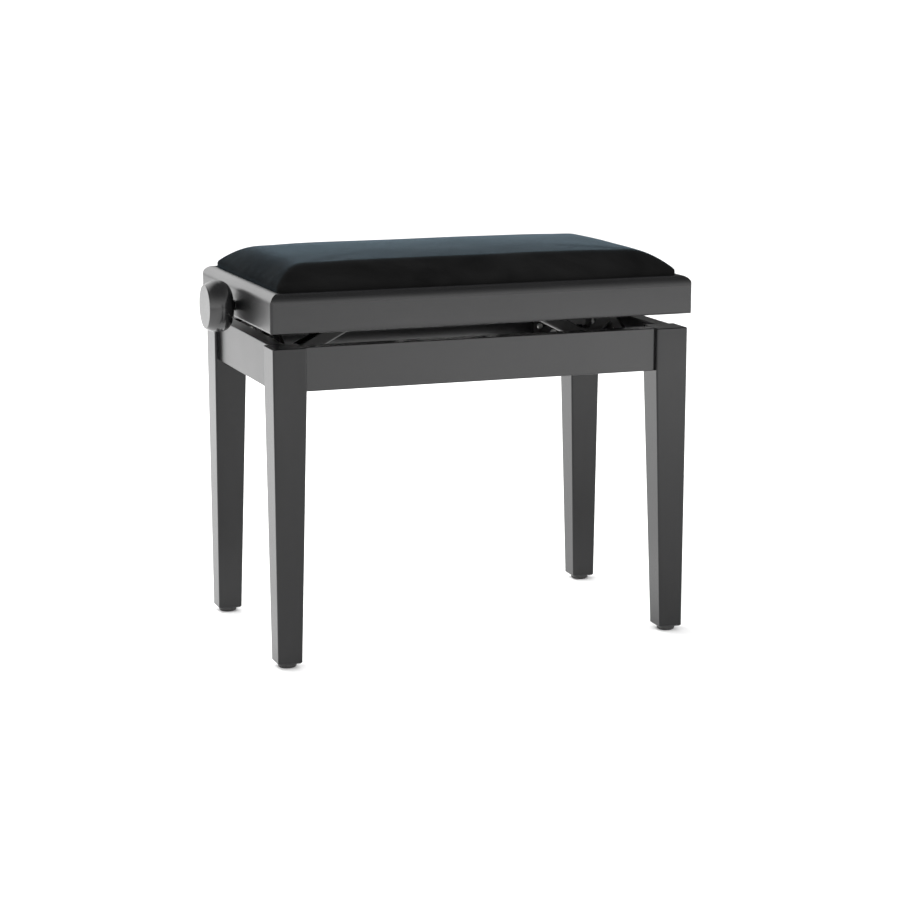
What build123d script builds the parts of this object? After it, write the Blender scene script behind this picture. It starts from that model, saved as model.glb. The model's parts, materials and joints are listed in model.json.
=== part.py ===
"""Adjustable piano bench: four tapered legs, an apron frame, a padded seat frame and a scissor lift.

Millimetres, +Z up, +X to the sitter's right, -Y towards the front. The floor is Z = 0.
Inside this file the bench is centred on X = 0; every sub-part is moved by `centre_x` when it is
written, so that the origin is the middle of the whole outline on the floor, knob included.
The seat is drawn at its usual height, a little above its lowest one.
"""

import os
from math import asin, cos, degrees, radians, sin

from build123d import *

# ---------------------------------------------------------------- driving dimensions: outside
seat_length = 550.0
seat_width = 330.0
seat_bottom = 414.0
seat_frame_height = 48.0
seat_rail_width = 22.0
seat_lip = 13.5  # rim left outside the pad
seat_edge_radius = 12.5  # rounding of the frame's upper outer edge
seat_ledge_depth = 7.5  # rebate that the padded board drops into
pad_rise = 35.5  # top of the pad above the frame

base_length = 543.0
base_width = 321.0
base_top = 396.0
apron_height = 54.0
apron_thickness = 20.0
apron_recess = 6.0
leg_top = 42.0
leg_bottom = 31.0
leg_outer_taper = 1.0  # the rest of the taper is on the two inner faces
glide_height = 6.0
glide_radius = 11.5

# ---------------------------------------------------------------- driving dimensions: lift
link_length = 195.0  # pivot to pivot, the same for scissor arms and thrust struts
link_rise = 90.0  # height of a link at rest
scissor_low = 354.0  # height of the lower scissor pivots
scissor_back = 73.0  # Y of the fixed pivots
arm_thickness = 4.0
arm_radius = 8.0
outer_arm_x = 232.0  # inner face of the arm next to the rails
inner_arm_x = 226.5
pin_radius = 4.0
running = 0.05  # radial clearance of a turning pin
slot_gap = 0.3  # clearance of a sliding pin
tube_radius = 6.5
tube_wall = 1.5

strut_low = 356.0
strut_foot_x = 218.0
strut_half_width = 8.5
strut_end_radius = 8.0
strut_wall = 2.5
strut_outer = 13.0  # half the channel's width along Y

spindle_z = 429.5
shank_radius = 4.0
thread_radius = 6.0
thread_start = 18.0
thread_end = 146.0
bearing_x = 175.0
sheet = 2.5  # steel of rails and brackets

# ---------------------------------------------------------------- worked out
seat_top = seat_bottom + seat_frame_height
seat_ledge = seat_top - seat_ledge_depth
seat_x = seat_length / 2
seat_y = seat_width / 2
base_x = base_length / 2
base_y = base_width / 2
apron_bottom = base_top - apron_height
leg_x = base_x - leg_top / 2
leg_y = base_y - leg_top / 2
leg_inner_x = base_x - leg_top
leg_inner_y = base_y - leg_top
foot_x = base_x - leg_outer_taper - leg_bottom / 2
foot_y = base_y - leg_outer_taper - leg_bottom / 2
apron_face_x = base_x - apron_recess
apron_face_y = base_y - apron_recess
inside_x = apron_face_x - apron_thickness
inside_y = apron_face_y - apron_thickness
seat_inside_x = seat_x - seat_rail_width
seat_inside_y = seat_y - seat_rail_width

rest_angle = degrees(asin(link_rise / link_length))
link_run = link_length * cos(radians(rest_angle))
scissor_high = scissor_low + link_rise
scissor_front = scissor_back - link_run
strut_high = strut_low + link_rise
nut_x = strut_foot_x - link_run
lowest_angle = 22.0
highest_angle = 60.0
front_when_low = scissor_back - link_length * cos(radians(lowest_angle))
front_when_high = scissor_back - link_length * cos(radians(highest_angle))
rail_x = outer_arm_x + arm_thickness + 1.5  # inner face of the rails that hold the scissors

knob_face_x = -313.8
knob_face_radius = 27.5
knob_radius = 31.75
knob_length = 37.0
knob_neck_radius = 6.25
knob_end_x = -seat_x - 0.6
centre_x = -(knob_face_x + seat_x) / 2
sides = (-1, 1)


# ---------------------------------------------------------------- small helpers
def block(x, y, z):
    """Box from three (low, high) pairs, given in either order."""
    spans = [sorted(pair) for pair in (x, y, z)]
    size = [high - low for low, high in spans]
    middle = [(high + low) / 2 for low, high in spans]
    return Pos(*middle) * Box(*size)


def rod(start, end, radius):
    """Round bar between two points."""
    run = Vector(*end) - Vector(*start)
    return extrude(Plane(origin=start, z_dir=run) * Circle(radius), run.length)


def tube(start, end, radius, bore):
    return rod(start, end, radius) - rod(start, end, bore)


def screw(tip, head, shank=2.0, head_radius=4.0, head_height=2.2):
    """Pan-head screw: its tip, and the point where its head bears."""
    run = (Vector(*tip) - Vector(*head)).normalized()
    under = Vector(*head)
    top = under - run * head_height
    cap = rod(tuple(top), tuple(under), head_radius)
    cap = fillet(cap.edges().filter_by(GeomType.CIRCLE).sort_by_distance(top)[0:1], 1.2)
    return cap + rod(tuple(under), tip, shank)


def shaft(tip, head, radius=2.0):
    """The hole that a screw of the same two points needs."""
    return rod(head, tip, radius)


def write(node, *solids):
    """Write one sub-part: one solid, or a group of separate solids."""
    placed = [Pos(centre_x, 0, 0) * solid for solid in solids]
    shape = placed[0] if len(placed) == 1 else Compound(children=placed)
    export_step(shape, f"parts/{node}.step")


def corner_name(x, y):
    return ("front" if y < 0 else "back") + "_" + ("left" if x < 0 else "right")


def side_name(x):
    return "left" if x < 0 else "right"


corners = [(x, y) for y in sides for x in sides]

# ---------------------------------------------------------------- base: where things are fixed
dowel_radius = 4.0
dowel_half = 13.0
dowel_heights = (apron_bottom + 14.0, base_top - 14.0)
apron_middle_x = apron_face_x - apron_thickness / 2
apron_middle_y = apron_face_y - apron_thickness / 2
glide_pin_radius = 1.5
glide_pin_length = 16.0


def dowel_ends():
    """Both ends of every dowel between a leg and an apron."""
    ends = []
    for x, y in corners:
        for z in dowel_heights:
            at_x, at_y = x * leg_inner_x, y * apron_middle_y
            ends.append(((at_x - x * dowel_half, at_y, z), (at_x + x * dowel_half, at_y, z)))
    shift = 6.0  # the side dowels sit lower, so that the two pairs in a leg stay apart
    for x, y in corners:
        for z in dowel_heights:
            at_x, at_y, at_z = x * apron_middle_x, y * leg_inner_y, z - shift
            if z == dowel_heights[0]:
                at_z = z + shift + dowel_radius
            ends.append(((at_x, at_y - y * dowel_half, at_z), (at_x, at_y + y * dowel_half, at_z)))
    return ends


dowels = [rod(start, end, dowel_radius) for start, end in dowel_ends()]

# A steel plate spans each corner behind the leg; a hanger bolt pulls the leg into it.
plate_low = apron_bottom + 24.0
plate_high = base_top - 3.0
plate_middle = (plate_low + plate_high) / 2
plate_flange = 16.0
plate_reach = leg_inner_x + leg_inner_y  # X + Y of the plate's outer face
bolt_radius = 3.0
nut_radius = 6.0


def corner_plate(x, y):
    """Diagonal plate with a flange along each apron."""
    end_x = plate_reach - inside_y
    end_y = plate_reach - inside_x
    slant = sheet * 2**0.5
    outline = [
        (end_x - plate_flange, inside_y),
        (end_x, inside_y),
        (inside_x, end_y),
        (inside_x, end_y - plate_flange),
        (inside_x - sheet, end_y - plate_flange),
        (inside_x - sheet, end_y - slant + sheet),
        (end_x - slant + sheet, inside_y - sheet),
        (end_x - plate_flange, inside_y - sheet),
    ]
    points = [(x * across, y * along) for across, along in outline]
    plate = extrude(Pos(0, 0, plate_low) * make_face(Polyline(*points, close=True)), plate_high - plate_low)
    tip, head = hanger_line(x, y, 22.0)
    plate -= rod(tip, head, bolt_radius)
    for end, start in plate_screws(x, y):
        plate -= shaft(end, start)
    return plate


def hanger_line(x, y, depth):
    """The hanger bolt's buried end, and its free end inside the plate."""
    out = depth / 2**0.5
    free = (sheet + 9.0) / 2**0.5
    tip = (x * (leg_inner_x + out), y * (leg_inner_y + out), plate_middle)
    end = (x * (leg_inner_x - free), y * (leg_inner_y - free), plate_middle)
    return tip, end


def plate_screws(x, y):
    """Tip and head points of the screws through a corner plate's two flanges."""
    along_x = plate_reach - inside_y - plate_flange / 2 - 2.0
    along_y = plate_reach - inside_x - plate_flange / 2 - 2.0
    depth = 13.0
    long_tip = (x * along_x, y * (inside_y + depth), plate_middle)
    long_head = (x * along_x, y * (inside_y - sheet), plate_middle)
    side_tip = (x * (inside_x + depth), y * along_y, plate_middle)
    side_head = (x * (inside_x - sheet), y * along_y, plate_middle)
    return (long_tip, long_head), (side_tip, side_head)


def hanger_nut(x, y):
    """Hexagon nut against the plate's inner face."""
    out = Vector(-x, -y, 0).normalized()
    face = Vector(x * leg_inner_x, y * leg_inner_y, plate_middle) + out * sheet
    plane = Plane(origin=tuple(face), z_dir=tuple(out))
    return extrude(plane * RegularPolygon(nut_radius, 6), 5.0) - extrude(plane * Circle(bolt_radius), 5.0)


# ---------------------------------------------------------------- base: wood
def leg(x, y):
    """Square leg, straight beside the aprons; below them it tapers, mostly on its two inner faces."""
    corner = 2.0
    shoe = 1.5
    foot = Pos(x * foot_x, y * foot_y, 0)
    knee = Pos(x * leg_x, y * leg_y, apron_bottom) * RectangleRounded(leg_top, leg_top, corner)
    ankle = foot * Pos(0, 0, glide_height + shoe) * RectangleRounded(leg_bottom, leg_bottom, corner)
    sole_size = leg_bottom - 2 * shoe
    sole = foot * Pos(0, 0, glide_height) * RectangleRounded(sole_size, sole_size, corner)
    post = extrude(knee, apron_height)
    post = chamfer(post.faces().sort_by(Axis.Z)[-1].edges(), 1.0)
    solid = loft([sole, ankle]) + loft([ankle, knee]) + post
    for dowel in dowels:
        solid -= dowel
    tip, end = hanger_line(x, y, 22.0)
    solid -= rod(tip, end, bolt_radius)
    nail = rod((0, 0, 0), (0, 0, glide_height + glide_pin_length), glide_pin_radius)
    return solid - foot * nail


def glide(x, y):
    """Round foot glide with its nail."""
    disc = extrude(Circle(glide_radius), glide_height)
    disc = fillet(disc.faces().sort_by(Axis.Z)[0].edges(), 2.5)
    disc = fillet(disc.faces().sort_by(Axis.Z)[-1].edges(), 0.6)
    nail = extrude(Circle(glide_pin_radius), glide_height + glide_pin_length - 1.0)
    return Pos(x * foot_x, y * foot_y, 0) * (disc + Pos(0, 0, 1.0) * nail)


def long_apron(y):
    face = block((-leg_inner_x, leg_inner_x), (y * inside_y, y * apron_face_y), (apron_bottom, base_top))
    face = fillet(face.edges().filter_by(Axis.X), 1.2)
    for dowel in dowels:
        face -= dowel
    for x in sides:
        face -= shaft(*plate_screws(x, y)[0])
    for tip, head in [*bar_screws(-1, y), *bar_screws(1, y)]:
        face -= shaft(tip, head)
    return face


def side_apron(x):
    face = block((x * inside_x, x * apron_face_x), (-leg_inner_y, leg_inner_y), (apron_bottom, base_top))
    face = fillet(face.edges().filter_by(Axis.Y), 1.2)
    for dowel in dowels:
        face -= dowel
    for y in sides:
        face -= shaft(*plate_screws(x, y)[1])
    for tip, head in lower_rail_screws(x):
        face -= shaft(tip, head)
    return face


# ---------------------------------------------------------------- base: steel
rail_floor = apron_bottom + 0.5
rail_front = front_when_low - 10.0
rail_back = scissor_back + 13.0
lower_flange_top = scissor_low + 11.0
lower_fixing_top = scissor_low + 26.0
slot_front = front_when_low - 1.0
slot_back = front_when_high + 1.0
fixing_front = rail_front + 33.0  # the fixing flanges stop short of the front corners
screw_places = (fixing_front + 12.0, (fixing_front + rail_back) / 2, rail_back - 12.0)


def slot_cut(x, z):
    """Long slot for a sliding pin, through the inner flange of a rail."""
    half = pin_radius + slot_gap
    reach = slot_back - slot_front
    plane = Plane(origin=(0, (slot_back + slot_front) / 2, z), x_dir=(0, 1, 0), z_dir=(1, 0, 0))
    shape = extrude(plane * SlotCenterToCenter(reach, 2 * half), 8.0, both=True)
    return Pos(x * (rail_x + sheet / 2), 0, 0) * shape


def pivot_cut(x, z):
    start = (x * (rail_x - 2), scissor_back, z)
    end = (x * (rail_x + sheet + 2), scissor_back, z)
    return rod(start, end, pin_radius + running)


def lower_rail_screws(x):
    z = lower_fixing_top - 6.0
    return [((x * (inside_x + 14), y, z), (x * (inside_x - sheet), y, z)) for y in screw_places]


def lower_rail(x):
    """Channel along the side apron; its inner flange holds the scissor's lower ends."""
    span = (rail_front, rail_back)
    inner = block((x * rail_x, x * (rail_x + sheet)), span, (rail_floor, lower_flange_top))
    web = block((x * rail_x, x * inside_x), span, (rail_floor, rail_floor + sheet))
    fixing = (fixing_front, rail_back)
    outer = block((x * (inside_x - sheet), x * inside_x), fixing, (rail_floor, lower_fixing_top))
    rail = inner + web + outer
    rail -= slot_cut(x, scissor_low)
    rail -= pivot_cut(x, scissor_low)
    for tip, head in lower_rail_screws(x):
        rail -= shaft(tip, head)
    return rail


bar_inner = 180.0  # the bar under a strut's foot spans this range of X
bar_outer = inner_arm_x - 0.5
bar_tab = 20.0
bar_ear = 36.0  # the ear at each end of the bar rises above its tab
bar_ear_width = 16.0
bar_screw_x = (bar_inner + 8.0, bar_inner + 28.0)
lug_inner = strut_outer + 0.6
lug_thickness = 3.0


def bar_screws(x, y):
    """Tip and head points of the two screws at one end of a strut bar: one in its ear, one in its tab."""
    points = []
    for at_x, z in zip(bar_screw_x, (rail_floor + 20.5, rail_floor + 12.0)):
        points.append(((x * at_x, y * (inside_y + 14), z), (x * at_x, y * (inside_y - sheet), z)))
    return points


def strut_bar(x):
    """Flat bar from apron to apron, with two lugs that carry a thrust strut's foot."""
    across = (x * bar_inner, x * bar_outer)
    ear = (x * bar_inner, x * (bar_inner + bar_ear_width))
    bar = block(across, (-inside_y, inside_y), (rail_floor, rail_floor + sheet))
    for y in sides:
        upright = (y * inside_y, y * (inside_y - sheet))
        bar += block(across, upright, (rail_floor, rail_floor + bar_tab))
        bar += block(ear, upright, (rail_floor, rail_floor + bar_ear))
        low, high = y * lug_inner, y * (lug_inner + lug_thickness)
        bar += block((x * (strut_foot_x - 8), x * (strut_foot_x + 8)), (low, high), (rail_floor, strut_low))
        foot = (x * strut_foot_x, low, strut_low), (x * strut_foot_x, high, strut_low)
        bar += rod(*foot, strut_end_radius)
        for tip, head in bar_screws(x, y):
            bar -= shaft(tip, head)
    reach = lug_inner + lug_thickness + 1
    bar -= rod((x * strut_foot_x, -reach, strut_low), (x * strut_foot_x, reach, strut_low), pin_radius)
    return bar


def foot_pin(x):
    """Pin through the lugs and the strut's foot, headed at both ends."""
    end = lug_inner + lug_thickness
    at = x * strut_foot_x
    pin = rod((at, -end, strut_low), (at, end, strut_low), pin_radius)
    for y in sides:
        pin += rod((at, y * end, strut_low), (at, y * (end + 1.5), strut_low), pin_radius + 1.8)
    return pin


# ---------------------------------------------------------------- scissor arms
def arm(inner, low, high):
    """Flat steel arm in a YZ plane between two pivots, given as (Y, Z), with three holes."""
    middle = (inner, (low[0] + high[0]) / 2, (low[1] + high[1]) / 2)
    along = (0, high[0] - low[0], high[1] - low[1])
    plane = Plane(origin=middle, x_dir=along, z_dir=(1, 0, 0))
    outline = plane * SlotCenterToCenter(link_length, 2 * arm_radius)
    outline -= plane * Pos(-link_length / 2, 0) * Circle(pin_radius)
    outline -= plane * Pos(link_length / 2, 0) * Circle(pin_radius)
    return extrude(outline, arm_thickness), plane


def outer_arm(x):
    """Arm hinged to the base at the back; its upper end slides in the seat's rail."""
    start = outer_arm_x if x > 0 else -outer_arm_x - arm_thickness
    solid, plane = arm(start, (scissor_back, scissor_low), (scissor_front, scissor_high))
    return solid - extrude(plane * Circle(pin_radius), arm_thickness)


def inner_arm(x):
    """Arm hinged to the seat at the back; its lower end slides in the base's rail."""
    start = inner_arm_x if x > 0 else -inner_arm_x - arm_thickness
    solid, plane = arm(start, (scissor_front, scissor_low), (scissor_back, scissor_high))
    return solid - extrude(plane * Circle(pin_radius + running), arm_thickness)


def stud(x, start, y, z):
    """Pin from an arm out through the rail's flange, with a clip behind the flange."""
    end = rail_x + sheet + 2.2
    pin = rod((x * start, y, z), (x * end, y, z), pin_radius)
    return pin + rod((x * (rail_x + sheet + 0.4), y, z), (x * (end - 0.4), y, z), pin_radius + 2.0)


def centre_pin(x):
    """Rivet where the two arms of a scissor cross."""
    y = (scissor_back + scissor_front) / 2
    z = (scissor_low + scissor_high) / 2
    pin = rod((x * (inner_arm_x - 0.3), y, z), (x * (outer_arm_x + arm_thickness), y, z), pin_radius)
    return pin + rod((x * (inner_arm_x - 2.0), y, z), (x * (inner_arm_x - 0.3), y, z), pin_radius + 2.2)


def torsion_tube(z, end):
    """Tube that ties the left and the right arm together, so that the seat stays level."""
    return tube((-end, scissor_back, z), (end, scissor_back, z), tube_radius, tube_radius - tube_wall)


# ---------------------------------------------------------------- thrust struts, nuts and spindle
def strut(x):
    """Pressed channel with its web underneath, from the base bar up to the nut."""
    along = (-x * link_run, 0, link_rise)
    foot = (x * strut_foot_x, 0, strut_low)
    plane = Plane(origin=foot, x_dir=along, z_dir=(0, x, 0))
    shoulder = 30.0
    ends = [Pos(at, 0) * Circle(strut_end_radius) for at in (0, link_length)]
    belly = [Pos(at, 0) * Circle(strut_half_width) for at in (shoulder, link_length - shoulder)]
    outline = make_hull([edge for ring in ends + belly for edge in ring.edges()])
    channel = extrude(plane * outline, strut_outer, both=True)
    gap = strut_outer - strut_wall
    web_top = -strut_half_width + strut_wall
    middle = Pos(link_length / 2, web_top + strut_half_width)
    trough = middle * Rectangle(link_length + 40, 2 * strut_half_width)
    channel -= extrude(plane * trough, gap, both=True)
    heel = channel.edges().filter_by(lambda edge: abs(edge.length - (link_length - 2 * shoulder)) < 1.0)
    channel = fillet(heel.sort_by(Axis.Z)[0:2], 2.2)
    for low, high in ((-20.0, 28.0), (link_length - 62.0, link_length + 20.0)):
        mouth = Pos((low + high) / 2, 0) * Rectangle(high - low, 60)
        channel -= extrude(plane * mouth, gap, both=True)
    for at in (0, link_length):
        channel -= extrude(plane * Pos(at, 0) * Circle(pin_radius + running), 20, both=True)
    return channel


def nut(x):
    """Threaded block on the spindle, with a cross hole for its trunnion."""
    half, deep = 12.0, 9.5
    body = block((x * nut_x - half, x * nut_x + half), (-deep, deep), (spindle_z - 9.5, strut_high + 7.0))
    body = chamfer(body.edges().filter_by(Axis.Y), 2.5)
    body -= rod((x * nut_x - 20, 0, spindle_z), (x * nut_x + 20, 0, spindle_z), thread_radius + 0.2)
    return body - rod((x * nut_x, -20, strut_high), (x * nut_x, 20, strut_high), pin_radius)


def trunnion(x):
    """Pin across the nut that the strut's two sides turn on."""
    end = strut_outer + 0.3
    pin = rod((x * nut_x, -end, strut_high), (x * nut_x, end, strut_high), pin_radius)
    for y in sides:
        cap = (x * nut_x, y * (end + 1.5), strut_high)
        pin += rod((x * nut_x, y * end, strut_high), cap, pin_radius + 1.8)
    return pin


shank_left = knob_face_x + 15.0
shank_right = bearing_x + 8.0


def spindle():
    """Screw with opposite threads left and right of its plain middle."""
    bar = rod((shank_left, 0, spindle_z), (shank_right, 0, spindle_z), shank_radius)
    bar += rod((-thread_start, 0, spindle_z), (thread_start, 0, spindle_z), thread_radius - 1.0)
    for x in sides:
        thread = rod((x * thread_start, 0, spindle_z), (x * thread_end, 0, spindle_z), thread_radius)
        bar += chamfer(thread.edges().filter_by(GeomType.CIRCLE), 1.0)
    return bar


def collar(at):
    """Set collar that stops the spindle from sliding through its bearing."""
    ring = tube((at, 0, spindle_z), (at + 7, 0, spindle_z), 8.0, shank_radius)
    return chamfer(ring.edges().filter_by(GeomType.CIRCLE).sort_by(lambda e: -e.radius)[0:2], 0.8)


def knob():
    """Turned knob: flat face, full rim, and a back that runs into a short neck."""
    face = knob_face_x
    fullest = face + 16.0
    back = face + knob_length
    outline = (
        Polyline((face, 0), (face, knob_face_radius))
        + ThreePointArc((face, knob_face_radius), (face + 7.5, 30.8), (fullest, knob_radius))
        + ThreePointArc((fullest, knob_radius), (back - 9.0, 29.0), (back - 2.5, 21.0))
        + ThreePointArc((back - 2.5, 21.0), (back - 1.7, 12.5), (back, knob_neck_radius))
        + Polyline((back, knob_neck_radius), (knob_end_x, knob_neck_radius), (knob_end_x, 0), (face, 0))
    )
    plane = Plane(origin=(0, 0, spindle_z), x_dir=(1, 0, 0), z_dir=(0, -1, 0))
    solid = revolve(plane * make_face(outline), Axis((0, 0, spindle_z), (1, 0, 0)))
    socket = rod((shank_left, 0, spindle_z), (-seat_x, 0, spindle_z), shank_radius)
    return solid - socket - knob_screw_hole()


def knob_screw_hole():
    at = knob_face_x + 16.0 + 8.0
    return rod((at, 0, spindle_z - shank_radius), (at, 0, spindle_z - 34.0), 2.0)


def knob_screw():
    """Grub screw that locks the knob to the spindle."""
    at = knob_face_x + 16.0 + 8.0
    return rod((at, 0, spindle_z - shank_radius), (at, 0, spindle_z - 12.0), 2.0)


# ---------------------------------------------------------------- seat: wood
corner_leg = 21.0
bearing_hole_radius = 7.0


def seat_rail_profile():
    """Section of a seat rail: X is the distance inwards from its outer face, Y is the height."""
    width, lip = seat_rail_width, seat_lip
    points = [(0, seat_bottom), (0, seat_top), (lip, seat_top), (lip, seat_ledge), (width, seat_ledge)]
    face = make_face(Polyline(*points, (width, seat_bottom), close=True))
    rounded = {(0, seat_bottom): 3.0, (0, seat_top): seat_edge_radius, (lip, seat_top): 0.8}
    rounded[(width, seat_bottom)] = 2.0
    for place, radius in rounded.items():
        nearest = face.vertices().sort_by_distance((place[0], place[1], 0))[0]
        face = fillet(nearest, radius)
    return face


def mitre_wedge(corner, run):
    """Prism that trims a rail to its mitres: `corner` is (x, y), `run` the rail's direction."""
    depth = seat_rail_width + 1.0
    cx, cy = corner
    if run == "x":
        points = [(-cx, cy), (cx, cy), (cx - depth, cy - depth if cy > 0 else cy + depth)]
        points.append((-cx + depth, points[2][1]))
    else:
        points = [(cx, -cy), (cx, cy), (cx - depth if cx > 0 else cx + depth, cy - depth)]
        points.append((points[2][0], -cy + depth))
    floor = Pos(0, 0, seat_bottom - 5)
    return extrude(floor * make_face(Polyline(*points, close=True)), seat_frame_height + 10)


def frame_outline():
    corner = 3.5
    outline = Pos(0, 0, seat_bottom) * RectangleRounded(seat_length, seat_width, corner)
    return extrude(outline, seat_frame_height)


def long_seat_rail(y):
    plane = Plane(origin=(-seat_x, y * seat_y, 0), x_dir=(0, -y, 0), z_dir=(1 if y < 0 else -1, 0, 0))
    rail = extrude(plane * seat_rail_profile(), seat_length if y < 0 else -seat_length)
    return rail & mitre_wedge((seat_x, y * seat_y), "x") & frame_outline()


def side_seat_rail(x):
    plane = Plane(origin=(x * seat_x, -seat_y, 0), x_dir=(-x, 0, 0), z_dir=(0, 1 if x > 0 else -1, 0))
    rail = extrude(plane * seat_rail_profile(), seat_width if x > 0 else -seat_width)
    rail = rail & mitre_wedge((x * seat_x, seat_y), "y") & frame_outline()
    if x < 0:
        rail -= rod((-seat_x - 5, 0, spindle_z), (-seat_inside_x + 5, 0, spindle_z), bearing_hole_radius)
    for tip, head in upper_rail_screws(x):
        rail -= shaft(tip, head)
    return rail


def seat_corner_block(x, y):
    """Glued block inside a mitre; one screw goes up through it into the padded board."""
    points = [(0, 0), (corner_leg, 0), (0, corner_leg)]
    placed = [(x * (seat_inside_x - across), y * (seat_inside_y - along)) for across, along in points]
    height = seat_ledge - seat_bottom - 4.0
    solid = extrude(Pos(0, 0, seat_bottom + 4.0) * make_face(Polyline(*placed, close=True)), height)
    return solid - shaft(*board_screw(x, y))


def board_screw(x, y):
    at_x, at_y = x * (seat_inside_x - 6.5), y * (seat_inside_y - 6.5)
    return (at_x, at_y, seat_ledge + 6.0), (at_x, at_y, seat_bottom + 4.0)


# ---------------------------------------------------------------- seat: padded board
board_gap = 2.0
board_x = seat_x - seat_lip - board_gap
board_y = seat_y - seat_lip - board_gap
board_thickness = 7.0
board_top = seat_ledge + board_thickness
cover = 1.0
pad_edge = 4.5  # upright edge above the board
pad_slope_x = 74.0  # width of the sloping margin at the pad's ends
pad_slope_y = 119.0  # and along its front and back
pad_fullness = 2.9  # how strongly the margin bulges
pad_stages = 6


def pad_body(extra):
    """Domed pad over the board, `extra` larger all round."""
    rise = seat_top + pad_rise - cover - board_top - pad_edge
    foot = Pos(0, 0, board_top) * Rectangle(2 * (board_x + extra), 2 * (board_y + extra))
    rings = [foot]
    for stage in range(pad_stages + 1):
        share = stage / pad_stages
        z = board_top + pad_edge + rise * (1 - (1 - share) ** pad_fullness) + extra
        half_x = board_x - share * pad_slope_x + extra
        half_y = board_y - share * pad_slope_y + extra
        rings.append(Pos(0, 0, z) * Rectangle(2 * half_x, 2 * half_y))
    return Solid() + [loft([below, above], ruled=True) for below, above in zip(rings, rings[1:])]


def board_body(extra):
    half_x, half_y = board_x + extra, board_y + extra
    return block((-half_x, half_x), (-half_y, half_y), (seat_ledge, board_top))


def seat_board():
    board = board_body(0.0)
    for x, y in corners:
        board -= shaft(*board_screw(x, y))
    for x in sides:
        for tip, head in bracket_screws(x):
            board -= shaft(tip, head)
    return board


def seat_cover():
    """Velour skin over the foam and round the board's edge."""
    return pad_body(cover) + board_body(cover) - pad_body(0.0) - board_body(0.0)


# ---------------------------------------------------------------- seat: steel
upper_flange_bottom = scissor_high - 7.5


def upper_rail_screws(x):
    z = upper_flange_bottom + 7.0
    outside = seat_inside_x
    return [((x * (outside + 14), y, z), (x * (outside - sheet), y, z)) for y in screw_places]


def upper_rail(x):
    """Channel under the board; its inner flange holds the scissor's upper ends."""
    span = (rail_front, rail_back)
    inner = block((x * rail_x, x * (rail_x + sheet)), span, (upper_flange_bottom, seat_ledge))
    web = block((x * rail_x, x * seat_inside_x), span, (seat_ledge - sheet, seat_ledge))
    outer = block((x * (seat_inside_x - sheet), x * seat_inside_x), span, (upper_flange_bottom, seat_ledge))
    rail = inner + web + outer
    rail -= slot_cut(x, scissor_high)
    rail -= pivot_cut(x, scissor_high)
    for tip, head in upper_rail_screws(x):
        rail -= shaft(tip, head)
    return rail


bracket_half = 17.0
bracket_foot = 16.0
bracket_hole_radius = 6.5


def bracket_screws(x):
    """Screws up through a bearing bracket's foot, on the side away from the middle."""
    at = x * (bearing_x + sheet + bracket_foot / 2)
    return [((at, y * 11.0, seat_ledge + 5.5), (at, y * 11.0, seat_ledge - sheet)) for y in sides]


def bearing_bracket(x):
    """Angle bracket under the board that carries a spindle bearing."""
    across = (x * bearing_x, x * (bearing_x + sheet))
    plate = block(across, (-bracket_half, bracket_half), (spindle_z, seat_ledge))
    plate += rod((across[0], 0, spindle_z), (across[1], 0, spindle_z), 12.0)
    foot = (x * bearing_x, x * (bearing_x + sheet + bracket_foot))
    plate += block(foot, (-bracket_half, bracket_half), (seat_ledge - sheet, seat_ledge))
    hole = (x * (bearing_x - 3), 0, spindle_z), (x * (bearing_x + 6), 0, spindle_z)
    plate -= rod(*hole, bracket_hole_radius)
    for tip, head in bracket_screws(x):
        plate -= shaft(tip, head)
    return plate


def bearing_bush(x):
    """Plain bush with a flange, pressed into a bearing bracket."""
    bore = shank_radius + running
    low, high = x * (bearing_x - 1.6), x * (bearing_x + sheet + 1.6)
    bush = tube((low, 0, spindle_z), (high, 0, spindle_z), bracket_hole_radius, bore)
    return bush + tube((low, 0, spindle_z), (x * bearing_x, 0, spindle_z), bracket_hole_radius + 2.0, bore)


def knob_bush():
    """Bush in the left seat rail that the knob's shank turns in."""
    start, end = (-seat_x + 0.2, 0, spindle_z), (-seat_inside_x, 0, spindle_z)
    return tube(start, end, bearing_hole_radius, shank_radius + running)


# ---------------------------------------------------------------- write the sub-parts
def write_base():
    for x, y in corners:
        write(f"leg_{corner_name(x, y)}", leg(x, y))
    write("apron_front", long_apron(-1))
    write("apron_back", long_apron(1))
    write("apron_left", side_apron(-1))
    write("apron_right", side_apron(1))
    write("apron_dowels", *dowels)
    write("foot_glides", *[glide(x, y) for x, y in corners])
    write("corner_plates", *[corner_plate(x, y) for x, y in corners])
    write("corner_screws", *[screw(*line) for x, y in corners for line in plate_screws(x, y)])
    write("hanger_bolts", *[rod(*hanger_line(x, y, 22.0), bolt_radius) for x, y in corners])
    write("hanger_nuts", *[hanger_nut(x, y) for x, y in corners])
    write("lower_rail_screws", *[screw(*line) for x in sides for line in lower_rail_screws(x)])
    write("strut_bar_screws", *[screw(*line) for x in sides for y in sides for line in bar_screws(x, y)])
    write("strut_foot_pins", *[foot_pin(x) for x in sides])
    for x in sides:
        write(f"lower_rail_{side_name(x)}", lower_rail(x))
        write(f"strut_bar_{side_name(x)}", strut_bar(x))


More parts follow.
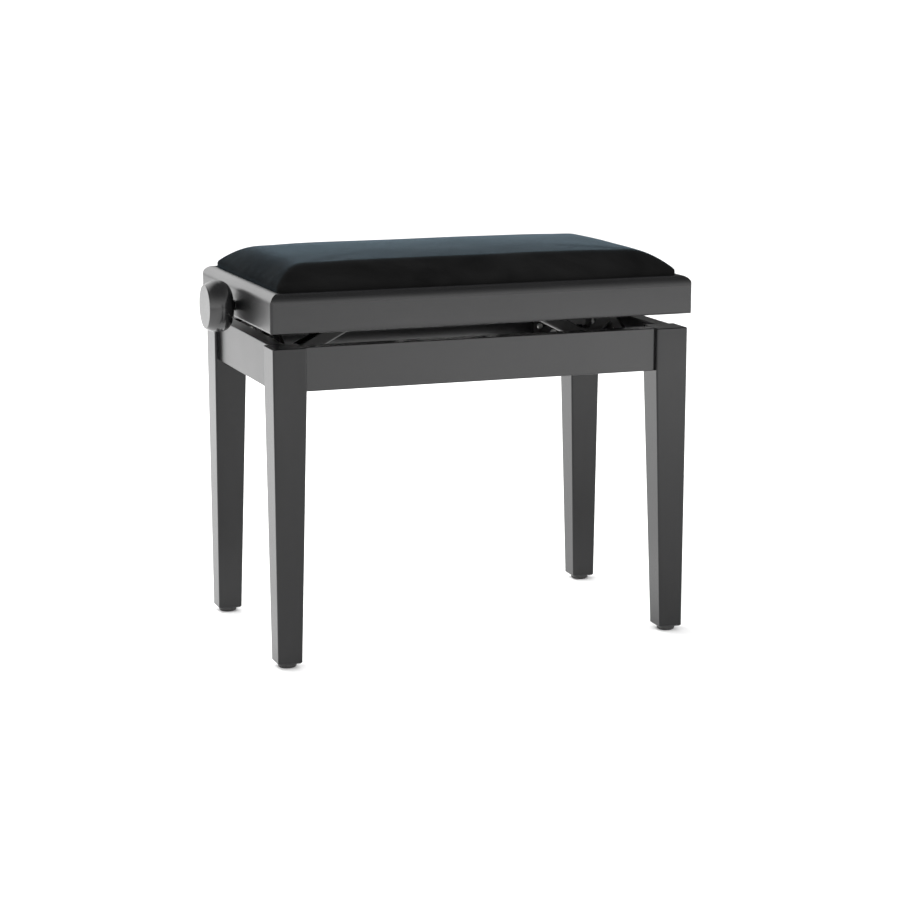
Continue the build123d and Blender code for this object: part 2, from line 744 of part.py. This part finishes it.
def write_scissors():
    for x in sides:
        write(f"outer_arm_{side_name(x)}", outer_arm(x))
        write(f"inner_arm_{side_name(x)}", inner_arm(x))
    write("lower_pivot_studs", *[stud(x, outer_arm_x, scissor_back, scissor_low) for x in sides])
    write("upper_slide_studs", *[stud(x, outer_arm_x, scissor_front, scissor_high) for x in sides])
    write("scissor_rivets", *[centre_pin(x) for x in sides])
    write("lower_tube", torsion_tube(scissor_low, outer_arm_x))
    write("upper_pivot_studs", *[stud(x, inner_arm_x, scissor_back, scissor_high) for x in sides])
    write("lower_slide_studs", *[stud(x, inner_arm_x, scissor_front, scissor_low) for x in sides])
    write("upper_tube", torsion_tube(scissor_high, inner_arm_x))


def write_screw_drive():
    for x in sides:
        write(f"strut_{side_name(x)}", strut(x))
        write(f"nut_{side_name(x)}", nut(x))
        write(f"nut_pin_{side_name(x)}", trunnion(x))
    write("spindle", spindle())
    write("spindle_collars", collar(-bearing_x + 2.2), collar(-bearing_x - sheet - 2.2 - 7.0))
    write("knob", knob())
    write("knob_screw", knob_screw())


def write_seat():
    write("seat_rail_front", long_seat_rail(-1))
    write("seat_rail_back", long_seat_rail(1))
    write("seat_rail_left", side_seat_rail(-1))
    write("seat_rail_right", side_seat_rail(1))
    write("seat_corner_blocks", *[seat_corner_block(x, y) for x, y in corners])
    write("seat_board", seat_board())
    write("seat_board_screws", *[screw(*board_screw(x, y)) for x, y in corners])
    write("seat_foam", pad_body(0.0))
    write("seat_cover", seat_cover())
    write("upper_rail_screws", *[screw(*line) for x in sides for line in upper_rail_screws(x)])
    write("bracket_screws", *[screw(*line) for x in sides for line in bracket_screws(x)])
    write("bearing_bushes", *[bearing_bush(x) for x in sides])
    write("knob_bush", knob_bush())
    for x in sides:
        write(f"upper_rail_{side_name(x)}", upper_rail(x))
        write(f"bearing_bracket_{side_name(x)}", bearing_bracket(x))


os.makedirs("parts", exist_ok=True)
write_base()
write_scissors()
write_screw_drive()
write_seat()
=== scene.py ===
import json
import math

import bpy
from mathutils import Matrix, Vector, noise


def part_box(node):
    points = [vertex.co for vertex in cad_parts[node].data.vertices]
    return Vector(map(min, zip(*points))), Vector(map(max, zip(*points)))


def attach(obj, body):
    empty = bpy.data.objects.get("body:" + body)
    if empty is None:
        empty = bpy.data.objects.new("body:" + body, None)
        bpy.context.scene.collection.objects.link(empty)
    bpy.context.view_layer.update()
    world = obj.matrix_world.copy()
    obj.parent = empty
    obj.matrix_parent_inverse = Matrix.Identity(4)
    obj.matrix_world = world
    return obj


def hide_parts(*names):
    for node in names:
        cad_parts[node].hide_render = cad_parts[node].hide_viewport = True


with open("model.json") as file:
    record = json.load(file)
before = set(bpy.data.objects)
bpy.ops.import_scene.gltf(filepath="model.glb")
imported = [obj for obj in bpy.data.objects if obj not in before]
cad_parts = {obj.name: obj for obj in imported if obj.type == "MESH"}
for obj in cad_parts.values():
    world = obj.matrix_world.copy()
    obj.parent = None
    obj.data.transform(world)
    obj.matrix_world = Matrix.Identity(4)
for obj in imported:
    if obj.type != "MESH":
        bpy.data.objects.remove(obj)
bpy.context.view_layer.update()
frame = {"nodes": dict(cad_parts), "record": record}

# Adjustable piano bench in black lacquer with a velour pad. Metres, +Z up, -Y is the front.
# The camera stands at the front left, and the knob is on the left end.
MM = 0.001
nodes = frame["nodes"]


# ------------------------------------------------------------------ places read from the frame
front_rail_low, front_rail_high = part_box("seat_rail_front")
board_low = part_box("seat_board")[0]
cover_low, cover_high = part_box("seat_cover")
knob_low, knob_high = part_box("knob")
spindle_low, spindle_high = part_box("spindle")
frame_top = front_rail_high.z
centre_x = (front_rail_low.x + front_rail_high.x) / 2
spindle_z = (spindle_low.z + spindle_high.z) / 2


# ------------------------------------------------------------------ node helpers
class Shader:
    """A material under construction: nodes are added with short calls and linked by name."""

    def __init__(self, name):
        self.material = bpy.data.materials.new(name)
        self.material.use_nodes = True
        self.tree = self.material.node_tree
        self.surface = self.tree.nodes["Principled BSDF"]
        self.place = self.tree.nodes.new("ShaderNodeTexCoord").outputs["Object"]

    def set(self, **values):
        for name, value in values.items():
            socket = self.surface.inputs[name.replace("_", " ")]
            socket.default_value = (*value, 1.0) if isinstance(value, tuple) else value
        return self

    def stretch(self, scale):
        node = self.tree.nodes.new("ShaderNodeMapping")
        node.inputs["Scale"].default_value = scale
        self.tree.links.new(self.place, node.inputs["Vector"])
        return node.outputs["Vector"]

    def noise(self, scale, detail=3.0, roughness=0.55, place=None, distortion=0.0):
        node = self.tree.nodes.new("ShaderNodeTexNoise")
        node.inputs["Scale"].default_value = scale
        node.inputs["Detail"].default_value = detail
        node.inputs["Roughness"].default_value = roughness
        node.inputs["Distortion"].default_value = distortion
        self.tree.links.new(place or self.place, node.inputs["Vector"])
        return node.outputs["Fac"]

    def cells(self, scale, place=None):
        node = self.tree.nodes.new("ShaderNodeTexVoronoi")
        node.inputs["Scale"].default_value = scale
        self.tree.links.new(place or self.place, node.inputs["Vector"])
        return node.outputs["Distance"]

    def remap(self, value, low, high, to_low=0.0, to_high=1.0):
        node = self.tree.nodes.new("ShaderNodeMapRange")
        for name, number in (("From Min", low), ("From Max", high), ("To Min", to_low), ("To Max", to_high)):
            node.inputs[name].default_value = number
        self.tree.links.new(value, node.inputs["Value"])
        return node.outputs["Result"]

    def blend(self, factor, first, second):
        node = self.tree.nodes.new("ShaderNodeMix")
        node.data_type = "RGBA"
        for socket, value in (("A", first), ("B", second)):
            target = [s for s in node.inputs if s.name == socket and s.type == "RGBA"][0]
            if isinstance(value, tuple):
                target.default_value = (*value, 1.0)
            else:
                self.tree.links.new(value, target)
        self.tree.links.new(factor, node.inputs["Factor"])
        return [s for s in node.outputs if s.type == "RGBA"][0]

    def bump(self, height, strength, distance, below=None):
        node = self.tree.nodes.new("ShaderNodeBump")
        node.inputs["Strength"].default_value = strength
        node.inputs["Distance"].default_value = distance
        self.tree.links.new(height, node.inputs["Height"])
        if below is not None:
            self.tree.links.new(below, node.inputs["Normal"])
        return node.outputs["Normal"]

    def link(self, **outputs):
        for name, output in outputs.items():
            self.tree.links.new(output, self.surface.inputs[name.replace("_", " ")])
        return self.material


# ------------------------------------------------------------------ materials
LACQUER_TONES = (0.0045, 0.0045, 0.0048), (0.0075, 0.0075, 0.008)
VELOUR_TONES = (0.0045, 0.0045, 0.0045), (0.008, 0.008, 0.008)
STAINED_TONES = (0.008, 0.008, 0.008), (0.02, 0.019, 0.018)


def black_lacquer(name, grain, roughness, index):
    """Satin black lacquer over close-grained wood; `grain` is the axis the wood runs along."""
    shader = Shader(name)
    scale = [70.0, 70.0, 70.0]
    scale["XYZ".index(grain)] = 2.5
    fibres = shader.noise(6.0, 4.0, 0.55, shader.stretch(scale))
    orange_peel = shader.noise(90.0, 2.0)
    haze = shader.noise(7.0, 3.0)
    shader.set(IOR=index, Coat_Weight=0.0, Specular_IOR_Level=0.5)
    fine = shader.bump(orange_peel, 0.05, 0.2 * MM)
    return shader.link(
        Base_Color=shader.blend(shader.remap(fibres, 0.3, 0.7), *LACQUER_TONES),
        Roughness=shader.remap(haze, 0.3, 0.7, roughness - 0.02, roughness + 0.02),
        Normal=shader.bump(fibres, 0.04, 0.1 * MM, fine),
    )


def knob_lacquer():
    """The same lacquer on end grain, with fine turning rings about the spindle's axis."""
    shader = Shader("knob_lacquer")
    rings = shader.noise(6.0, 3.0, 0.6, shader.stretch((260.0, 2.0, 2.0)))
    haze = shader.noise(30.0, 4.0)
    shader.set(IOR=1.65, Coat_Weight=0.0, Specular_IOR_Level=0.5)
    return shader.link(
        Base_Color=shader.blend(haze, *LACQUER_TONES),
        Roughness=shader.remap(haze, 0.3, 0.7, 0.2, 0.25),
        Normal=shader.bump(rings, 0.04, 0.08 * MM),
    )


def velour():
    """Black velour: dark seen face on, blue grey where the pile is seen edge on."""
    shader = Shader("velour")
    nap = shader.noise(11.0, 4.0, 0.55, distortion=0.6)
    tufts = shader.noise(900.0, 3.0, 0.6)
    pile = shader.cells(2200.0)
    shader.set(Sheen_Weight=0.3, Sheen_Roughness=0.19, Sheen_Tint=(0.62, 0.84, 1.0), Specular_IOR_Level=0.0)
    normal = shader.bump(pile, 0.35, 0.25 * MM, shader.bump(nap, 0.25, 0.8 * MM))
    return shader.link(
        Base_Color=shader.blend(shader.remap(nap, 0.35, 0.65), *VELOUR_TONES),
        Roughness=shader.remap(tufts, 0.3, 0.7, 0.82, 0.97),
        Normal=normal,
    )


def black_steel():
    """Powder-coated pressed steel."""
    shader = Shader("black_steel")
    grit = shader.noise(700.0, 2.0)
    haze = shader.noise(25.0, 4.0)
    shader.set(Metallic=0.0, Coat_Weight=0.0, Specular_IOR_Level=0.6)
    return shader.link(
        Base_Color=shader.blend(haze, (0.008, 0.008, 0.008), (0.014, 0.014, 0.014)),
        Roughness=shader.remap(haze, 0.3, 0.7, 0.28, 0.4),
        Normal=shader.bump(grit, 0.15, 0.15 * MM),
    )


def bright_steel():
    """Zinc-plated steel with faint handling marks."""
    shader = Shader("bright_steel")
    marks = shader.noise(120.0, 5.0, 0.65)
    cloud = shader.noise(22.0, 3.0)
    shader.set(Metallic=1.0)
    return shader.link(
        Base_Color=shader.blend(cloud, (0.50, 0.50, 0.49), (0.66, 0.66, 0.65)),
        Roughness=shader.remap(marks, 0.3, 0.7, 0.22, 0.42),
        Normal=shader.bump(marks, 0.1, 0.1 * MM),
    )


def bare_wood():
    """Plain beech ply and blocks, unstained."""
    shader = Shader("bare_wood")
    grain = shader.noise(5.0, 6.0, 0.6, shader.stretch((4.0, 60.0, 60.0)), distortion=0.3)
    pores = shader.noise(14.0, 3.0, 0.7, shader.stretch((8.0, 240.0, 240.0)))
    shader.set(Specular_IOR_Level=0.3)
    tone = shader.blend(shader.remap(grain, 0.3, 0.7), (0.34, 0.22, 0.12), (0.52, 0.37, 0.22))
    return shader.link(
        Base_Color=shader.blend(shader.remap(pores, 0.55, 0.75, 0.0, 0.5), tone, (0.25, 0.15, 0.08)),
        Roughness=shader.remap(grain, 0.3, 0.7, 0.6, 0.8),
        Normal=shader.bump(pores, 0.3, 0.2 * MM),
    )


def stained_board():
    """Plywood stained black, with its pores open."""
    shader = Shader("stained_board")
    pores = shader.noise(14.0, 4.0, 0.7, shader.stretch((8.0, 200.0, 200.0)))
    shader.set(Specular_IOR_Level=0.25)
    return shader.link(
        Base_Color=shader.blend(shader.remap(pores, 0.4, 0.7), *STAINED_TONES),
        Roughness=shader.remap(pores, 0.3, 0.7, 0.55, 0.8),
        Normal=shader.bump(pores, 0.3, 0.15 * MM),
    )


def moulded_plastic(name, dark, light):
    shader = Shader(name)
    speckle = shader.noise(500.0, 3.0)
    cloud = shader.noise(60.0, 3.0)
    return shader.link(
        Base_Color=shader.blend(cloud, dark, light),
        Roughness=shader.remap(speckle, 0.3, 0.7, 0.45, 0.6),
        Normal=shader.bump(speckle, 0.1, 0.1 * MM),
    )


def pale_floor():
    shader = Shader("pale_floor")
    cloud = shader.noise(1.5, 3.0)
    shader.set(Specular_IOR_Level=0.1)
    return shader.link(
        Base_Color=shader.blend(cloud, (0.90, 0.90, 0.90), (0.92, 0.92, 0.92)),
        Roughness=shader.remap(cloud, 0.3, 0.7, 0.85, 0.95),
    )


lacquer = {
    axis: black_lacquer(f"black_lacquer_{axis.lower()}", axis, roughness, index)
    for axis, roughness, index in (("X", 0.2, 1.5), ("Y", 0.3, 1.5), ("Z", 0.2, 1.4))
}
knob_black = knob_lacquer()
velour_black = velour()
steel_black = black_steel()
steel_bright = bright_steel()
wood_bare = bare_wood()
board_black = stained_board()
bush_black = moulded_plastic("bush_plastic", (0.010, 0.010, 0.010), (0.018, 0.018, 0.018))
glide_black = moulded_plastic("glide_plastic", (0.012, 0.012, 0.012), (0.022, 0.022, 0.022))

by_slot = {
    "black_knob": knob_black,
    "plain_wood": wood_bare,
    "foam": velour_black,
    "velour": velour_black,
    "glide_plastic": glide_black,
    "bush_plastic": bush_black,
    "black_board": board_black,
    "bright_steel": steel_bright,
    "black_steel": steel_black,
}


def lacquer_for(node):
    """Each lacquered piece's grain runs along its longest side."""
    low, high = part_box(node)
    size = high - low
    return lacquer["XYZ"[max(range(3), key=lambda axis: size[axis])]]


for part in frame["record"]["subparts"]:
    name, slot = part["node"], part["material_slot"]
    material = lacquer_for(name) if slot == "black_wood" else by_slot[slot]
    for place in nodes[name].material_slots:
        place.material = material


# ------------------------------------------------------------------ mesh helpers
def add_object(name, mesh, material, body, smooth=True):
    piece = bpy.data.objects.new(name, mesh)
    bpy.context.scene.collection.objects.link(piece)
    mesh.materials.append(material)
    if smooth:
        for face in mesh.polygons:
            face.use_smooth = True
    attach(piece, body)
    return piece


def mesh_from(name, points, faces):
    mesh = bpy.data.meshes.new(name)
    mesh.from_pydata([tuple(p) for p in points], [], faces)
    mesh.validate()
    return mesh


def lathe(profile, centre, axis, segments=96):
    """Vertices and faces of a profile [(along, radius), ...] turned about an axis through `centre`."""
    axis = Vector(axis).normalized()
    side = axis.orthogonal().normalized()
    other = axis.cross(side)
    points, faces = [], []
    for along, radius in profile:
        for step in range(segments):
            angle = 2 * math.pi * step / segments
            out = side * math.cos(angle) + other * math.sin(angle)
            points.append(Vector(centre) + axis * along + out * radius)
    for ring in range(len(profile) - 1):
        for step in range(segments):
            after = (step + 1) % segments
            low, high = ring * segments, (ring + 1) * segments
            faces.append((low + step, low + after, high + after, high + step))
    faces.append(tuple(range(segments))[::-1])
    last = (len(profile) - 1) * segments
    faces.append(tuple(last + step for step in range(segments)))
    return points, faces


# ------------------------------------------------------------------ cushion
PAD_EDGE = 7.0 * MM  # upright edge above the frame
PAD_SLOPE = (51 * MM, 46 * MM)  # width of the sloping margin along X and Y
PAD_FULLNESS = (2.4, 1.32)  # how round each margin is: 1 would be a straight slope
PAD_SOFT = 1.2 * MM  # rounding where the margins meet at the hips
PAD_CROWN = 5.0 * MM  # rise of the dome inside the margins
PAD_REST = 1.0 * MM  # how far the dome stays below the top of its space
PAD_SWELL = 1.2 * MM  # what the simulation adds at its fullest
PAD_CELL = 4.6 * MM
PAD_CAP = 2.0 * MM  # how far the simulation may push a point
PAD_CORNER = 7.0 * MM  # radius of the corners seen from above
PAD_GAP = 0.3 * MM  # how far the cover stays inside its CAD solid
PAD_LEVELS = 3  # rows of faces down the upright side


def pad_height(from_end, from_side, rise):
    """Height of the pad above the frame at a point that far in from its edges."""
    heights = []
    for distance, slope, fullness in zip((from_end, from_side), PAD_SLOPE, PAD_FULLNESS):
        share = min(max(distance / slope, 0.0), 1.0)
        heights.append(PAD_EDGE + (rise - PAD_EDGE) * (1 - (1 - share) ** fullness))
    return -PAD_SOFT * math.log(sum(math.exp(-height / PAD_SOFT) for height in heights))


def pad_surface():
    """Closed quad mesh of the cover: a domed top, an upright edge and a flat underside."""
    middle = (cover_low + cover_high) / 2
    half_x = (cover_high.x - cover_low.x) / 2 - PAD_GAP
    half_y = (cover_high.y - cover_low.y) / 2 - PAD_GAP
    rise = cover_high.z - frame_top - PAD_REST - PAD_CROWN - PAD_SWELL + PAD_SOFT * math.log(2)
    across = round(2 * half_x / PAD_CELL)
    deep = round(2 * half_y / PAD_CELL)
    points, index = [], {}

    def outline(u, v):
        """Rectangle with rounded corners, from a square grid."""
        x, y = u * half_x, v * half_y
        over_x = max(abs(x) - (half_x - PAD_CORNER), 0.0)
        over_y = max(abs(y) - (half_y - PAD_CORNER), 0.0)
        if over_x and over_y:
            reach = max(over_x, over_y) / math.hypot(over_x, over_y)
            x = math.copysign(half_x - PAD_CORNER + over_x * reach, x)
            y = math.copysign(half_y - PAD_CORNER + over_y * reach, y)
        return x, y

    def add(key, x, y, z):
        index[key] = len(points)
        points.append((middle.x + x, middle.y + y, z))

    for i in range(across + 1):
        for j in range(deep + 1):
            x, y = outline(2 * i / across - 1, 2 * j / deep - 1)
            crown = PAD_CROWN * (1 - (x / half_x) ** 4) * (1 - (y / half_y) ** 2)
            lift = pad_height(half_x - abs(x), half_y - abs(y), rise) + crown
            add(("top", i, j), x, y, frame_top + lift)
            add(("under", i, j), x, y, board_low.z)
    faces = []
    for i in range(across):
        for j in range(deep):
            square = [(i, j), (i + 1, j), (i + 1, j + 1), (i, j + 1)]
            faces.append([index[("top", *corner)] for corner in square])
            faces.append([index[("under", *corner)] for corner in reversed(square)])
    rim = [(i, 0) for i in range(across)] + [(across, j) for j in range(deep)]
    rim += [(i, deep) for i in range(across, 0, -1)] + [(0, j) for j in range(deep, 0, -1)]
    for level in range(1, PAD_LEVELS):
        for i, j in rim:
            x, y, z = points[index[("top", i, j)]]
            share = level / PAD_LEVELS
            add((level, i, j), x - middle.x, y - middle.y, z + (board_low.z - z) * share)
    rows = ["top", *range(1, PAD_LEVELS), "under"]
    for upper, lower in zip(rows, rows[1:]):
        for here, after in zip(rim, rim[1:] + rim[:1]):
            corners = (upper, after), (upper, here), (lower, here), (lower, after)
            faces.append([index[(row, *place)] for row, place in corners])
    return mesh_from("cushion", points, faces)


def inflate(piece, held_below):
    """Short cloth simulation: the cover swells over its foam, held round the rebate."""
    start = [vertex.co.copy() for vertex in piece.data.vertices]
    pin = piece.vertex_groups.new(name="held")
    for vertex in piece.data.vertices:
        if vertex.co.z < held_below:
            pin.add([vertex.index], 1.0, "REPLACE")
    cloth = piece.modifiers.new("cloth", "CLOTH")
    settings = cloth.settings
    settings.quality = 6
    settings.mass = 0.35
    settings.tension_stiffness = settings.compression_stiffness = 18
    settings.bending_stiffness = 1.2
    settings.use_pressure = True
    settings.uniform_pressure_force = 3.5
    settings.effector_weights.gravity = 0.0
    settings.vertex_group_mass = "held"
    cloth.collision_settings.use_collision = False
    scene = bpy.context.scene
    for step in range(1, 21):
        scene.frame_set(step)
    shaped = piece.evaluated_get(bpy.context.evaluated_depsgraph_get()).to_mesh()
    moved = [vertex.co.copy() for vertex in shaped.vertices]
    piece.modifiers.remove(cloth)
    piece.vertex_groups.remove(pin)
    scene.frame_set(1)
    pushes = [after - before for before, after in zip(start, moved)]
    share = PAD_SWELL / max(max(push.z for push in pushes), PAD_SWELL)
    for vertex, before, push in zip(piece.data.vertices, start, pushes):
        push = push * share
        if push.length > PAD_CAP:
            push *= PAD_CAP / push.length
        vertex.co = before + push


def tailor(piece):
    """Folded corners and the slight pull of the fixings along the lower edge."""
    middle = (cover_low + cover_high) / 2
    half_x = (cover_high.x - cover_low.x) / 2
    half_y = (cover_high.y - cover_low.y) / 2
    fold_length = 52 * MM
    fold_width = 3.2 * MM
    fold_depth = 0.7 * MM
    pull_pitch = 31 * MM
    pull_depth = 0.25 * MM
    pull_reach = 9 * MM
    unevenness = 0.5 * MM
    for vertex in piece.data.vertices:
        if vertex.co.z < frame_top:
            continue
        x, y = vertex.co.x - middle.x, vertex.co.y - middle.y
        from_end, from_side = half_x - abs(x), half_y - abs(y)
        inwards = (from_end + from_side) / 2
        off_line = (from_end - from_side) / math.sqrt(2)
        if inwards < fold_length:
            fade = (1 - inwards / fold_length) ** 0.8
            crease = math.exp(-((off_line / fold_width) ** 2))
            lip = math.exp(-(((off_line - 2.2 * fold_width) / (1.6 * fold_width)) ** 2))
            vertex.co.z += fade * (0.5 * lip - crease) * fold_depth
        near_edge = math.exp(-min(from_end, from_side) / pull_reach)
        along = x if from_side < from_end else y
        vertex.co.z -= pull_depth * near_edge * (0.5 + 0.5 * math.cos(2 * math.pi * along / pull_pitch))
        drift = noise.noise(Vector((x, y, 0.3)) * 14.0)
        vertex.co.z += unevenness * drift * (1 - near_edge)


def make_cushion():
    cushion = bpy.data.objects.new("cushion", pad_surface())
    bpy.context.scene.collection.objects.link(cushion)
    inflate(cushion, frame_top + 1.0 * MM)
    tailor(cushion)
    mesh = cushion.data
    mesh.materials.append(velour_black)
    for face in mesh.polygons:
        face.use_smooth = True
    cushion.modifiers.new("finer", "SUBSURF").levels = 1
    cushion.modifiers["finer"].render_levels = 1
    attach(cushion, "seat")
    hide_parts("seat_cover", "seat_foam")


# ------------------------------------------------------------------ knob
def arc(start, through, end, steps):
    """Points after `start` on the circle through three (along, radius) points."""
    (ax, ay), (bx, by), (cx, cy) = start, through, end
    twice = 2 * (ax * (by - cy) + bx * (cy - ay) + cx * (ay - by))
    a, b, c = ax * ax + ay * ay, bx * bx + by * by, cx * cx + cy * cy
    middle = ((a * (by - cy) + b * (cy - ay) + c * (ay - by)) / twice,
              (a * (cx - bx) + b * (ax - cx) + c * (bx - ax)) / twice)
    radius = math.hypot(ax - middle[0], ay - middle[1])
    first = math.atan2(ay - middle[1], ax - middle[0])
    turn = math.atan2(cy - middle[1], cx - middle[0]) - first
    turn = (turn + math.pi) % (2 * math.pi) - math.pi
    angles = [first + turn * step / steps for step in range(1, steps + 1)]
    return [(middle[0] + radius * math.cos(at), middle[1] + radius * math.sin(at)) for at in angles]


def make_knob():
    """Turned knob with a flat face, a full rim and a curved back that runs into its neck."""
    rim = (knob_high.y - knob_low.y) / 2
    length = knob_high.x - knob_low.x
    neck, face, edge = 6.25 * MM, 27.5 * MM, 0.7 * MM
    flat = face - edge
    widest = 16 * MM  # distance of the full rim from the face
    swell = (7.5 * MM, 30.8 * MM)
    back, back_end = (26.0 * MM, 29.8 * MM), (32.0 * MM, 22.5 * MM)
    hollow, hollow_end = (33.8 * MM, 13.5 * MM), (35.5 * MM, neck)
    profile = [(0.0, 0.5 * MM), (0.0, flat - 0.4 * MM), (0.0, flat)]
    profile += arc(profile[-1], (0.3 * edge, face - 0.3 * edge), (edge, face), 4)
    profile += arc(profile[-1], swell, (widest, rim), 16)
    profile += arc(profile[-1], back, back_end, 18)
    profile += arc(profile[-1], hollow, hollow_end, 12)
    profile.append((length, neck))
    centre = (knob_low.x, 0.0, spindle_z)
    points, faces = lathe(profile, centre, (1, 0, 0), 128)
    mesh = mesh_from("turned_knob", points, faces)
    knob = add_object("turned_knob", mesh, knob_black, "spindle")
    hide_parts("knob")


# ------------------------------------------------------------------ spindle threads
def make_threads():
    """Trapezoidal ridges on the spindle: right hand on one side of the middle, left hand on the other."""
    radius = (spindle_high.z - spindle_low.z) / 2
    pitch = 5.0 * MM
    segments = 28
    depth = 0.9 * MM
    proud = 0.12 * MM  # how far the ridges stand out of the spindle's plain cylinder
    runout = 6  # segments over which each end of the ridge sinks away
    start, end = 19.5 * MM, 144.5 * MM  # distances from the middle of the bench
    count = round((end - start) / pitch * segments)
    section = [(-0.42, -depth), (-0.2, 0.0), (0.2, 0.0), (0.42, -depth)]  # (share of half the pitch, height)
    for hand, name in ((1, "thread_right"), (-1, "thread_left")):
        points, faces = [], []
        for step in range(count + 1):
            angle = 2 * math.pi * step / segments
            along = start + pitch * step / segments
            taper = min(1.0, step / runout, (count - step) / runout)
            for shift, height in section:
                reach = radius + proud + height - depth * (1 - taper) * (height == 0.0)
                y, z = reach * math.cos(angle), reach * math.sin(angle)
                points.append((centre_x + hand * (along + shift * pitch / 2), y, spindle_z + z))
        width = len(section)
        for step in range(count):
            for edge in range(width):
                a, b = step * width + edge, step * width + (edge + 1) % width
                faces.append((a, b, b + width, a + width))
        faces.append(tuple(range(width)))
        faces.append(tuple(count * width + edge for edge in range(width)))
        mesh = mesh_from(name, points, faces)
        add_object(name, mesh, steel_bright, "spindle", smooth=False)


make_cushion()
make_knob()
make_threads()


# ------------------------------------------------------------------ floor, lights and camera
BACKDROP = 1.5  # white enough to hide the horizon


def make_floor():
    reach = 90.0
    corners = [(-reach, -reach, 0.0), (reach, -reach, 0.0), (reach, reach, 0.0), (-reach, reach, 0.0)]
    mesh = mesh_from("floor", corners, [(0, 1, 2, 3)])
    floor = bpy.data.objects.new("floor", mesh)
    mesh.materials.append(pale_floor())
    bpy.context.scene.collection.objects.link(floor)


def softbox(name, place, target, width, height, power, seen_in_gloss=True):
    light = bpy.data.lights.new(name, "AREA")
    light.shape = "RECTANGLE"
    light.size, light.size_y, light.energy = width, height, power
    lamp = bpy.data.objects.new(name, light)
    lamp.location = place
    lamp.rotation_euler = (Vector(target) - Vector(place)).to_track_quat("-Z", "Y").to_euler()
    lamp.visible_camera = False
    lamp.visible_glossy = seen_in_gloss
    bpy.context.scene.collection.objects.link(lamp)


def make_room():
    """Dim room with a bright screen at the back left and a glow at the front, and a plain white backdrop."""
    world = bpy.data.worlds.new("studio")
    world.use_nodes = True
    tree = world.node_tree
    background = tree.nodes["Background"]
    toward = tree.nodes.new("ShaderNodeTexCoord").outputs["Generated"]

    def ramp(axis, low, high, to_low, to_high):
        """Smooth step of how far a direction points along `axis`."""
        along = tree.nodes.new("ShaderNodeVectorMath")
        along.operation = "DOT_PRODUCT"
        along.inputs[1].default_value = axis
        tree.links.new(toward, along.inputs[0])
        step = tree.nodes.new("ShaderNodeMapRange")
        step.interpolation_type = "SMOOTHSTEP"
        for name, number in (("From Min", low), ("From Max", high), ("To Min", to_low), ("To Max", to_high)):
            step.inputs[name].default_value = number
        tree.links.new(along.outputs["Value"], step.inputs["Value"])
        return step.outputs["Result"]

    def combine(operation, first, second):
        """Math on an output and either another output or a number."""
        node = tree.nodes.new("ShaderNodeMath")
        node.operation = operation
        tree.links.new(first, node.inputs[0])
        if isinstance(second, float):
            node.inputs[1].default_value = second
        else:
            tree.links.new(second, node.inputs[1])
        return node.outputs["Value"]

    screen = ramp((-0.55, 0.78, 0.30), 0.55, 0.9, 0.15, 2.1)
    glow_by_height = ramp((0, 0, 1), -0.1, 1.0, 1.9, 0.05)
    glow_by_side = ramp((0, 1, 0), -0.2, 0.5, 1.0, 0.0)
    room = combine("ADD", screen, combine("MULTIPLY", glow_by_height, glow_by_side))
    seen = tree.nodes.new("ShaderNodeLightPath").outputs["Is Camera Ray"]
    backdrop = combine("MULTIPLY", seen, BACKDROP)
    tree.links.new(combine("MAXIMUM", room, backdrop), background.inputs["Strength"])
    background.inputs["Color"].default_value = (1.0, 1.0, 1.0, 1.0)
    bpy.context.scene.world = world


def make_studio():
    make_room()
    sun = bpy.data.lights.new("ceiling", "SUN")
    sun.angle, sun.energy = math.radians(100), 1.5
    lamp = bpy.data.objects.new("ceiling", sun)
    lamp.visible_glossy = False
    bpy.context.scene.collection.objects.link(lamp)
    softbox("back_left", (-0.9, 1.95, 2.0), (-0.9, 1.95, 0.0), 2.6, 3.4, 82.0, False)
    softbox("front_right", (1.6, -2.3, 1.3), (1.6, -2.3, 0.0), 1.4, 1.8, 60.0, False)
    softbox("below", (centre_x, 0.0, 0.30), (centre_x, 0.0, 0.0), 0.44, 0.22, 0.9, False)
    bpy.context.scene.view_settings.view_transform = "Standard"


def make_camera():
    """Standing at the front left, a little above the seat."""
    turn, dip, roll = -0.34565, -0.19283, -0.00195
    ahead = Vector((-math.sin(turn) * math.cos(dip), math.cos(turn) * math.cos(dip), math.sin(dip)))
    level = Vector((math.cos(turn), math.sin(turn), 0.0))
    above = level.cross(ahead)
    right = level * math.cos(roll) + above * math.sin(roll)
    up = above * math.cos(roll) - level * math.sin(roll)
    data = bpy.data.cameras.new("camera")
    data.sensor_width = 36.0
    data.lens = 95.737
    camera = bpy.data.objects.new("camera", data)
    axes = Matrix((right, up, -ahead)).transposed()
    place = Vector((centre_x - 1.02714, -2.87965, 0.82395))
    camera.matrix_world = Matrix.Translation(place) @ axes.to_4x4()
    data.clip_end = 200.0
    bpy.context.scene.collection.objects.link(camera)
    bpy.context.scene.camera = camera


make_floor()
make_studio()
make_camera()
